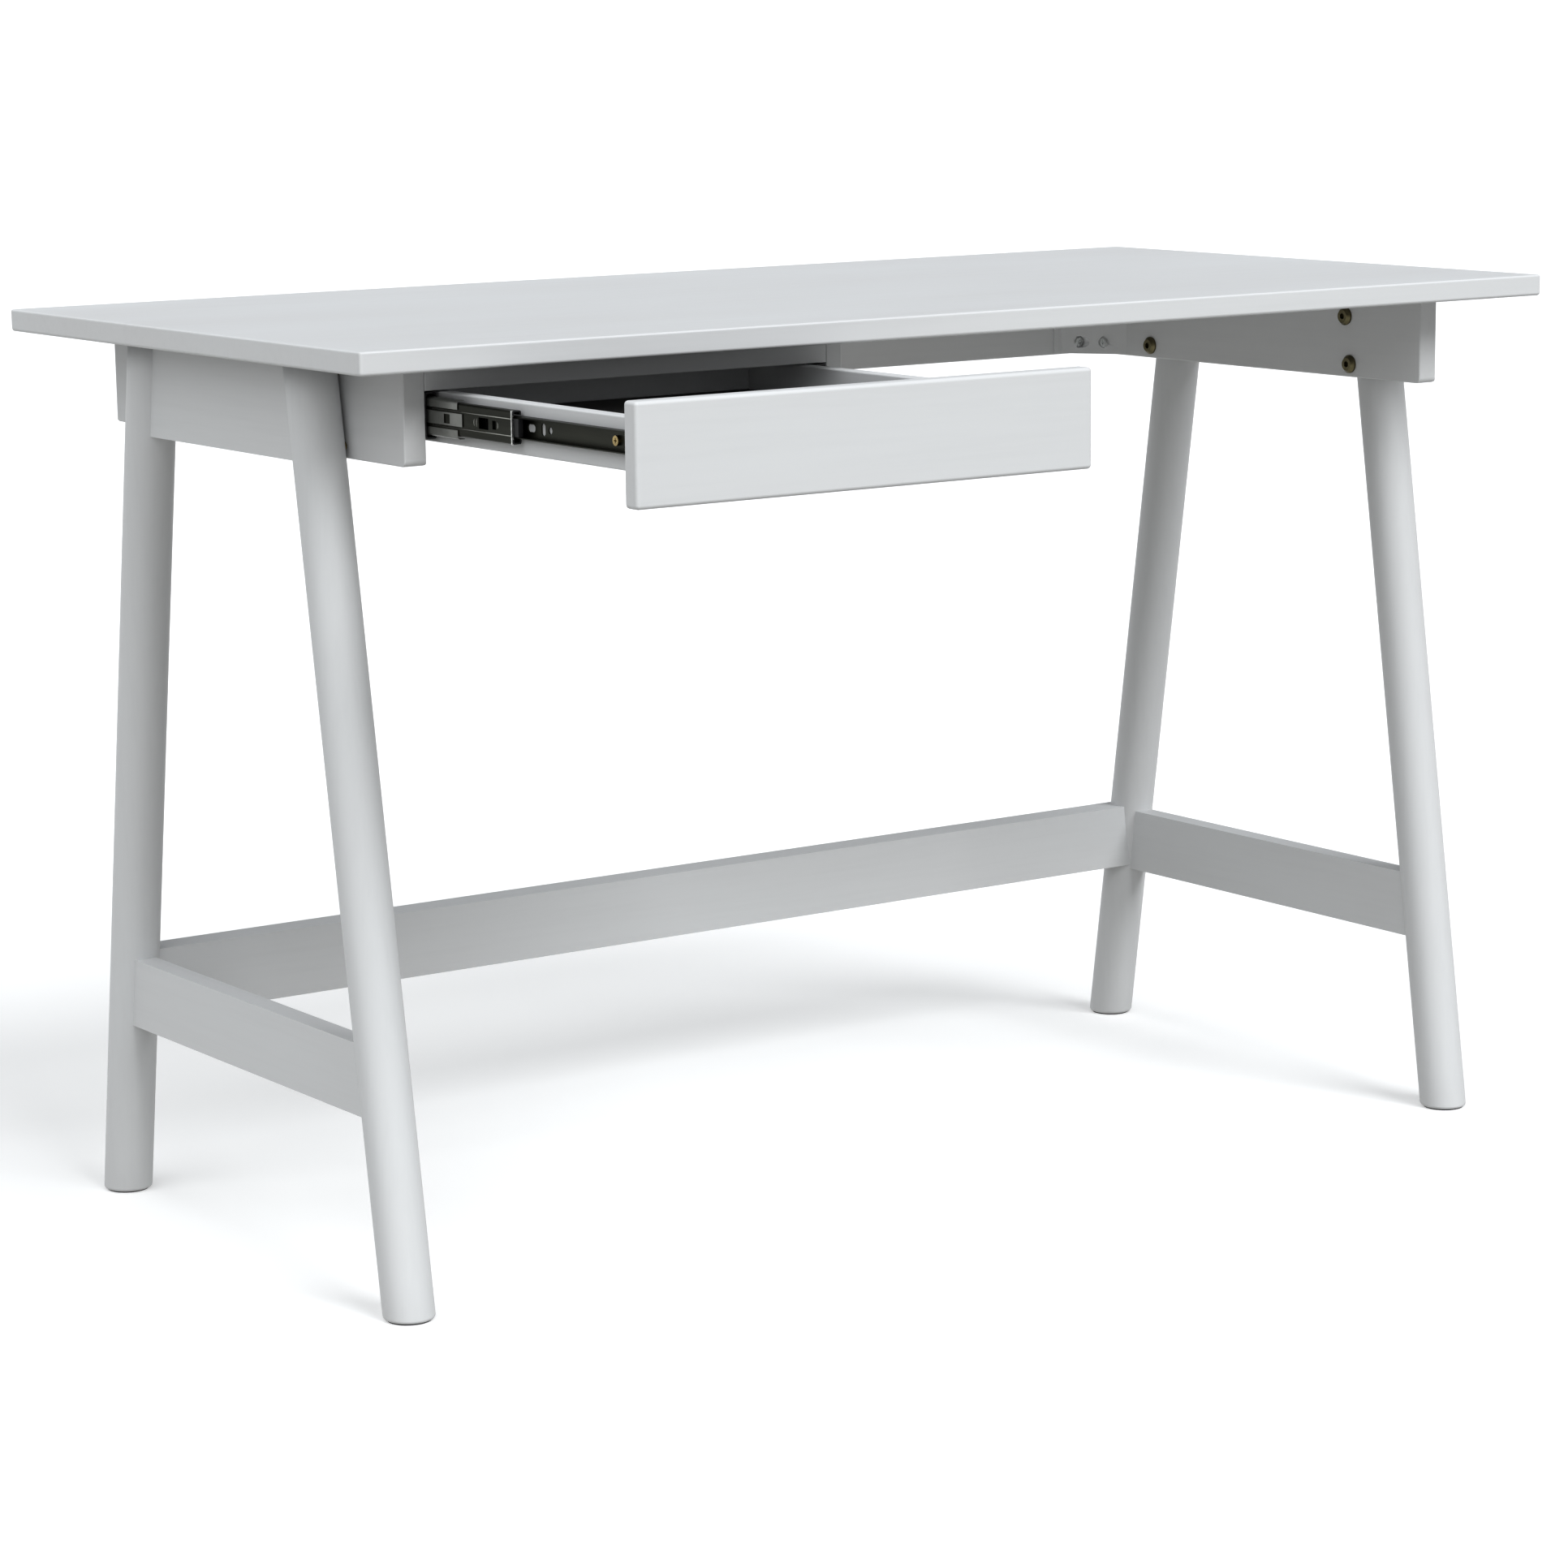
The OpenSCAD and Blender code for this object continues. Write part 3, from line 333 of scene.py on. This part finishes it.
def leg_line(node):
    """Centre of a leg's foot, centre of its top, and its radius."""
    low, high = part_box(node)
    radius = (high[0] - low[0]) / 2
    x = (low[0] + high[0]) / 2
    # the box's two y limits are the foot's outer edge and the top's inner edge
    lean = math.atan((high[1] - low[1] - 2 * radius) / (high[2] - low[2]))
    half = radius / math.cos(lean)
    if "front" in node:
        foot_y, top_y = low[1] + half, high[1] - half
    else:
        foot_y, top_y = high[1] - half, low[1] + half
    return Vector((x, foot_y, low[2])), Vector((x, top_y, high[2])), radius


def leg_piece(node):
    """A round leaning leg, level at both ends, with an eased foot."""
    foot, top, radius = leg_line(node)
    lean = math.atan(abs(top.y - foot.y) / (top.z - foot.z))
    mesh = bpy.data.meshes.new(node + "_round")
    builder = bmesh.new()
    # rings: eased foot, then the straight shaft up to the desktop
    levels = [(0.0, radius - FOOT_EASE)]
    for step in range(1, FOOT_STEPS + 1):
        angle = step / FOOT_STEPS * math.pi / 2
        levels.append((FOOT_EASE * (1 - math.cos(angle)), radius - FOOT_EASE * (1 - math.sin(angle))))
    for step in range(1, LEG_RINGS + 1):
        levels.append((FOOT_EASE + (top.z - foot.z - FOOT_EASE) * step / LEG_RINGS, radius))
    rings = []
    for rise, r in levels:
        share = rise / (top.z - foot.z)
        centre = foot.lerp(top, share)
        ring = []
        for i in range(LEG_SIDES):
            turn = 2 * math.pi * i / LEG_SIDES
            ring.append(builder.verts.new((centre.x + r * math.cos(turn),
                                           centre.y + r * math.sin(turn) / math.cos(lean), centre.z)))
        rings.append(ring)
    for below, above in zip(rings, rings[1:]):
        for i in range(LEG_SIDES):
            j = (i + 1) % LEG_SIDES
            builder.faces.new((below[i], below[j], above[j], above[i]))
    builder.faces.new(list(reversed(rings[0])))
    builder.faces.new(rings[-1])
    piece = finish_piece(node + "_round", store(mesh, builder), "frame", LACQUER["z"],
                         (node,))
    # the two end faces stay flat
    piece.data.polygons[-1].use_smooth = False
    piece.data.polygons[-2].use_smooth = False


for node in ("front_left_leg", "rear_left_leg", "front_right_leg", "rear_right_leg"):
    leg_piece(node)

# The boards with hollowed ends and the corner blocks keep their CAD shape and get softened edges
for node, axis in (("left_trestle_rail", "y"), ("right_trestle_rail", "y"), ("left_side_stretcher", "y"),
                   ("right_side_stretcher", "y"), ("rear_stretcher", "x"),
                   ("rear_left_corner_block", "z"), ("rear_right_corner_block", "z")):
    cad = NODES[node]
    cad.data.materials.clear()
    cad.data.materials.append(LACQUER[axis])
    weld = cad.modifiers.new("weld", "WELD")
    weld.merge_threshold = WELD_REACH
    soften(cad, BLOCK_EDGE if "block" in node else STRETCHER_EDGE, limit=CAD_EDGE_LIMIT)

# ---------------------------------------------------------------- drawer

DRAWER_FRONT_EDGE = 3.0 * MM
DRAWER_SIDE_EDGE = 1.5 * MM
DRAWER_BACK_EDGE = 0.8 * MM
DRAWER_BOTTOM_EDGE = 0.4 * MM
node_board("drawer_front", "drawer", "x", DRAWER_FRONT_EDGE, segments=6)
for side in ("left", "right"):
    node_board("drawer_%s_side" % side, "drawer", "y", DRAWER_SIDE_EDGE, segments=4)
node_board("drawer_back", "drawer", "x", DRAWER_BACK_EDGE, segments=3)
node_board("drawer_bottom", "drawer", "x", DRAWER_BOTTOM_EDGE, segments=2, slot="hardboard",
           material=HARDBOARD)

# ---------------------------------------------------------------- materials of the carried-over CAD nodes

CARRIED = {
    "dark_zinc": DARK_ZINC, "bright_zinc": BRIGHT_ZINC, "bronze_steel": BRONZE, "brass": BRASS,
    "black_plastic": BLACK, "beech": BEECH, "hardboard": HARDBOARD, "white_lacquer": LACQUER["x"],
}
SLOT_OF = {part["node"]: part["material_slot"] for part in frame["record"]["subparts"]}
for node, cad in NODES.items():
    if SLOT_OF[node] == "white_lacquer":
        continue
    cad.data.materials.clear()
    is_zinc_screw = SLOT_OF[node] == "bright_zinc" and "screws" in node
    cad.data.materials.append(SCREW_ZINC if is_zinc_screw else CARRIED[SLOT_OF[node]])
    for polygon in cad.data.polygons:
        polygon.material_index = 0

# ---------------------------------------------------------------- trim of the drawer slides: pressed lines and tabs in a lighter metal as painted glints, and the flange

RIDGE_SIDES = 8
LINE_LEVEL = 6.2 * MM        # the two pressed lines above and below a slide's middle
LINE_RADIUS = 0.38 * MM
LINE_START = 0.5 * MM        # from the middle member's front end
LINE_LENGTH = 112.0 * MM
LINE_SUNK = 0.05 * MM
TAB_STEPS = 12
TAB_TAPER = 0.92             # share of the radius squared that is lost at a tab's ends
TAB_RADIUS = 0.50 * MM
TAB_SUNK = 0.30 * MM         # so that a tab passes under the ball cage's tongue
# curved upright tabs by the window: distance behind the front end, height and bow along Y, in mm
TABS = [(20.0, 6.0, -1.1), (48.0, 7.6, 1.0), (51.4, 6.4, 1.2)]
FLANGE_HALF = 12.6 * MM      # the bright strip at the middle member's front end
FLANGE_DEPTH = 1.0 * MM
FLANGE_AHEAD = 1.7 * MM
FLANGE_OUT = 0.9 * MM
FLANGE_IN = 1.0 * MM
FLANGE_EDGE = 0.3 * MM


def half_round_ridge(builder, path, radius, way, across):
    """A half-round ridge on a face that looks along way * X.

    path: (point, share of the radius) from end to end. across: the direction in the face at
    right angles to the path.
    """
    rings = []
    for point, share in path:
        ring = []
        for i in range(RIDGE_SIDES + 1):
            turn = math.pi * i / RIDGE_SIDES
            out = Vector((way * math.sin(turn), 0, 0))
            ring.append(builder.verts.new(point + radius * share * (out + across * math.cos(turn))))
        rings.append(ring)
    for near, far in zip(rings, rings[1:]):
        for i in range(RIDGE_SIDES):
            builder.faces.new((near[i], near[i + 1], far[i + 1], far[i]))
        builder.faces.new((near[0], far[0], far[-1], near[-1]))
    builder.faces.new(rings[0])
    builder.faces.new(list(reversed(rings[-1])))


def pressed_line(x, y_near, y_far, z):
    """Path of a straight line along Y."""
    return [(Vector((x, y, z)), 1.0) for y in (y_near, y_far)]


def pressed_tab(x, y, z, height, bow):
    """Path of an upright tab that bows along Y and runs out thin at both ends."""
    path = []
    for step in range(TAB_STEPS + 1):
        s = 2 * step / TAB_STEPS - 1
        path.append((Vector((x, y + bow * (1 - s * s), z + s * height / 2)),
                     math.sqrt(1 - TAB_TAPER * s * s)))
    return path


for side, way in (("left", -1), ("right", 1)):
    low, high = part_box(side + "_slide_middle_member")
    level = (low[2] + high[2]) / 2
    web = low[0] if way < 0 else high[0]
    front = low[1]
    body = side + "_middle"
    mesh, builder = bpy.data.meshes.new(side + "_slide_lines"), bmesh.new()
    for z in (level - LINE_LEVEL, level + LINE_LEVEL):
        line = pressed_line(web - way * LINE_SUNK, front + LINE_START, front + LINE_LENGTH, z)
        half_round_ridge(builder, line, LINE_RADIUS, way, Vector((0, 0, 1)))
    for distance, height, bow in TABS:
        tab = pressed_tab(web - way * TAB_SUNK, front + distance * MM, level, height * MM, bow * MM)
        half_round_ridge(builder, tab, TAB_RADIUS, way, Vector((0, 1, 0)))
    bmesh.ops.recalc_face_normals(builder, faces=builder.faces)
    # the ridges are real pressings; their lighter metal is a painted glint
    finish_piece(side + "_slide_lines", store(mesh, builder), body, GLINT_LINE_METAL)

    near, far = sorted((web + way * FLANGE_OUT, web - way * FLANGE_IN))
    flange_front = front - FLANGE_AHEAD
    mesh, builder = box_mesh(side + "_slide_flange", (near, flange_front, level - FLANGE_HALF),
                             (far, flange_front + FLANGE_DEPTH, level + FLANGE_HALF))
    flange = finish_piece(side + "_slide_flange", store(mesh, builder), body, STEEL_FLANGE)
    soften(flange, FLANGE_EDGE, segments=3)

# ---------------------------------------------------------------- floor, light, camera

FLOOR_HALF = 2500.0          # far enough for the floor to fill the view behind the desk
FLOOR_DEPTH = 0.05
FLOOR_GLOW = 0.30


def floor_material():
    material, nodes, links, shader = new_material("pale_floor")
    cloud = stretched_noise(nodes, links, EVEN, scale=0.6, detail=2.0)
    coloured(nodes, links, shader, cloud.outputs["Fac"],
             [(0.30, (0.80, 0.80, 0.80)), (0.70, (0.81, 0.81, 0.81))])
    shader.inputs["Roughness"].default_value = 0.9
    shader.inputs["Emission Color"].default_value = (1, 1, 1, 1)
    shader.inputs["Emission Strength"].default_value = FLOOR_GLOW
    return material


mesh, builder = box_mesh("studio_floor", (-FLOOR_HALF, -FLOOR_HALF, -FLOOR_DEPTH),
                         (FLOOR_HALF, FLOOR_HALF, 0.0))
floor = bpy.data.objects.new("studio_floor", store(mesh, builder))
scene.collection.objects.link(floor)
floor.data.materials.append(floor_material())

ZENITH = (0.27, 0.28, 0.29)
HORIZON = (0.52, 0.53, 0.54)
BELOW = (0.44, 0.442, 0.43)
# heights on the unit dome at which the three colours stand
BELOW_LEVEL = 0.0
HORIZON_LEVEL = 0.01
ZENITH_LEVEL = 0.7


def studio_world():
    """A soft dome, brightest near the horizon."""
    dome = bpy.data.worlds.new("studio")
    dome.use_nodes = True
    nodes, links = dome.node_tree.nodes, dome.node_tree.links
    coord = nodes.new("ShaderNodeTexCoord")
    parts = nodes.new("ShaderNodeSeparateXYZ")
    links.new(coord.outputs["Generated"], parts.inputs["Vector"])
    colour = ramp(nodes, links, parts.outputs["Z"],
                  [(BELOW_LEVEL, BELOW), (HORIZON_LEVEL, HORIZON), (ZENITH_LEVEL, ZENITH)])
    links.new(colour.outputs["Color"], nodes["Background"].inputs["Color"])
    return dome


scene.world = studio_world()

# the floor shows the desk's shadow, and the dome's lower half stands in for its bounced light
floor.visible_diffuse = False

SUN_TINT = (0.975, 0.99, 1.0)


def sun(name, come_from, strength, spread):
    """A wide sun whose light comes from a direction; spread is its width in degrees."""
    light = bpy.data.lights.new(name, "SUN")
    light.energy = strength
    light.angle = math.radians(spread)
    light.color = SUN_TINT
    lamp = bpy.data.objects.new(name, light)
    lamp.rotation_euler = (-Vector(come_from)).to_track_quat("-Z", "Y").to_euler()
    scene.collection.objects.link(lamp)


sun("key_light", (0.16, -0.98, 0.93), strength=2.28, spread=34)
sun("left_light", (-1.0, -0.45, 0.95), strength=1.22, spread=60)
sun("back_light", (-0.50, 1.0, 0.75), strength=0.45, spread=60)

# Camera: placed from the point on the floor under the desktop's middle. Yaw turns it to the right
# of +Y, pitch turns it down, and roll turns it clockwise.
CAMERA_FROM_DESK = Vector((-2.1825, -3.1086, 1.0130))
YAW = math.radians(34.665)
PITCH = math.radians(11.465)
ROLL = math.radians(0.714)
FOCAL_SHARE = 2.83106        # focal length over the sensor's width
SHIFT_X = 0.0087992
SHIFT_Y = 0.0590062
SENSOR = 36.0
VIEW_DEPTH = 6000.0
VIEW_GAMMA = 0.8

desk_middle = Vector(((top_low[0] + top_high[0]) / 2, (top_low[1] + top_high[1]) / 2, 0.0))
forward = Vector((math.sin(YAW) * math.cos(PITCH), math.cos(YAW) * math.cos(PITCH), -math.sin(PITCH)))
right = Vector((math.cos(YAW), -math.sin(YAW), 0.0))
down = forward.cross(right)
right_rolled = right * math.cos(ROLL) + down * math.sin(ROLL)
down_rolled = down * math.cos(ROLL) - right * math.sin(ROLL)
camera_data = bpy.data.cameras.new("camera")
camera_data.sensor_fit = "HORIZONTAL"
camera_data.sensor_width = SENSOR
camera_data.lens = SENSOR * FOCAL_SHARE
camera_data.shift_x = SHIFT_X
camera_data.shift_y = SHIFT_Y
camera_data.dof.use_dof = False
camera_data.clip_end = VIEW_DEPTH
camera = bpy.data.objects.new("camera", camera_data)
axes = Matrix((right_rolled, -down_rolled, -forward)).transposed().to_4x4()
camera.matrix_world = Matrix.Translation(desk_middle + CAMERA_FROM_DESK) @ axes
scene.collection.objects.link(camera)
scene.camera = camera
scene.view_settings.view_transform = "Standard"
scene.view_settings.look = "None"
scene.view_settings.gamma = VIEW_GAMMA
